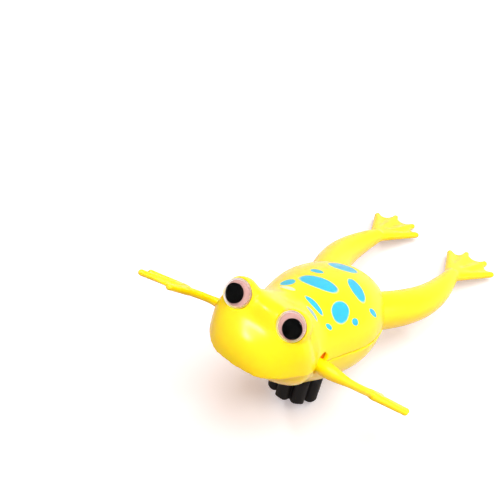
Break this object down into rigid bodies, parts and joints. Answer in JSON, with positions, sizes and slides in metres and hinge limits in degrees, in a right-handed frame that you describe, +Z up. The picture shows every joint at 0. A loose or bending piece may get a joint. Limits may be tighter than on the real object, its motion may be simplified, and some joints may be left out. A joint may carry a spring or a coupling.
{
  "type": "wind-up swimming frog",
  "caption": "Hollow plastic swimming frog with googly eyes, paddling arms on a cross shaft, trailing webbed legs and a clockwork motor wound by a fluted knob under the belly.",
  "frame": {"origin": "on the floor, under the middle of the box round the whole frog", "axes": "+X to the frog's left, +Y back to the toes, +Z up; the nose is at -Y and the frog rests on its knob and toes"},
  "size_m": [0.108, 0.1672, 0.082],
  "materials": {
    "yellow_plastic": "glossy, with printed light blue spots on the back",
    "eye_white": "glossy pinkish white",
    "pupil_black": "glossy black",
    "clear_dome": "clear moulded plastic, polished",
    "black_plastic": "satin black",
    "brass": "stamped",
    "white_plastic": "satin white",
    "blue_steel": "blued spring strip",
    "steel": "bright steel"
  },
  "bodies": {
    "frame": {"upper_shell": "yellow_plastic", "lower_shell": "yellow_plastic", "left_leg": "yellow_plastic", "right_leg": "yellow_plastic", "left_eye_back": "eye_white", "right_eye_back": "eye_white", "left_eye_dome": "clear_dome", "right_eye_dome": "clear_dome", "mainspring": "blue_steel", "spring_drum": "white_plastic", "lower_plate": "white_plastic", "upper_plate": "white_plastic", "plate_pillars": "steel", "motor_screws": "steel", "shell_screws": "steel"},
    "arms": {"left_arm": "yellow_plastic", "right_arm": "yellow_plastic", "arm_shaft": "steel", "shaft_pinion": "white_plastic"},
    "crown": {"crown_arbor": "steel", "crown_wheel": "white_plastic", "crown_pinion": "white_plastic"},
    "idler": {"idler_arbor": "steel", "idler_wheel": "brass"},
    "great": {"great_wheel": "brass", "click": "steel"},
    "winder": {"winding_knob": "black_plastic", "knob_screw": "steel", "winding_arbor": "steel", "ratchet_wheel": "brass"},
    "left_pupil": {"left_pupil": "pupil_black"},
    "right_pupil": {"right_pupil": "pupil_black"}
  },
  "joints": [
    {"name": "arm_spin", "type": "hinge", "parent": "frame", "child": "arms", "pos_m": [0, -0.05463, 0.04844], "axis": [1, 0, 0], "continuous": true},
    {"name": "crown_spin", "type": "hinge", "parent": "frame", "child": "crown", "pos_m": [0, -0.05463, 0.04844], "axis": [0, 0.3377, 0.9412], "continuous": true},
    {"name": "idler_spin", "type": "hinge", "parent": "frame", "child": "idler", "pos_m": [0, -0.04409, 0.04466], "axis": [0, 0.3377, 0.9412], "continuous": true},
    {"name": "great_spin", "type": "hinge", "parent": "frame", "child": "great", "pos_m": [0, -0.03012, 0.03964], "axis": [0, 0.3377, 0.9412], "continuous": true},
    {"name": "knob_turn", "type": "hinge", "parent": "frame", "child": "winder", "pos_m": [0, -0.03012, 0.03964], "axis": [0, 0.3377, 0.9412], "continuous": true},
    {"name": "left_pupil_roll", "type": "hinge", "parent": "frame", "child": "left_pupil", "pos_m": [0.0131, -0.06493, 0.07657], "axis": [0.0324, -0.7457, 0.6655], "continuous": true},
    {"name": "right_pupil_roll", "type": "hinge", "parent": "frame", "child": "right_pupil", "pos_m": [-0.0131, -0.06493, 0.07657], "axis": [-0.0324, -0.7457, 0.6655], "continuous": true}
  ],
  "couplings": [
    {"joint": "crown_spin", "follows": "arm_spin", "ratio": 0.5},
    {"joint": "idler_spin", "follows": "arm_spin", "ratio": -0.16667},
    {"joint": "great_spin", "follows": "arm_spin", "ratio": 0.03876}
  ]
}
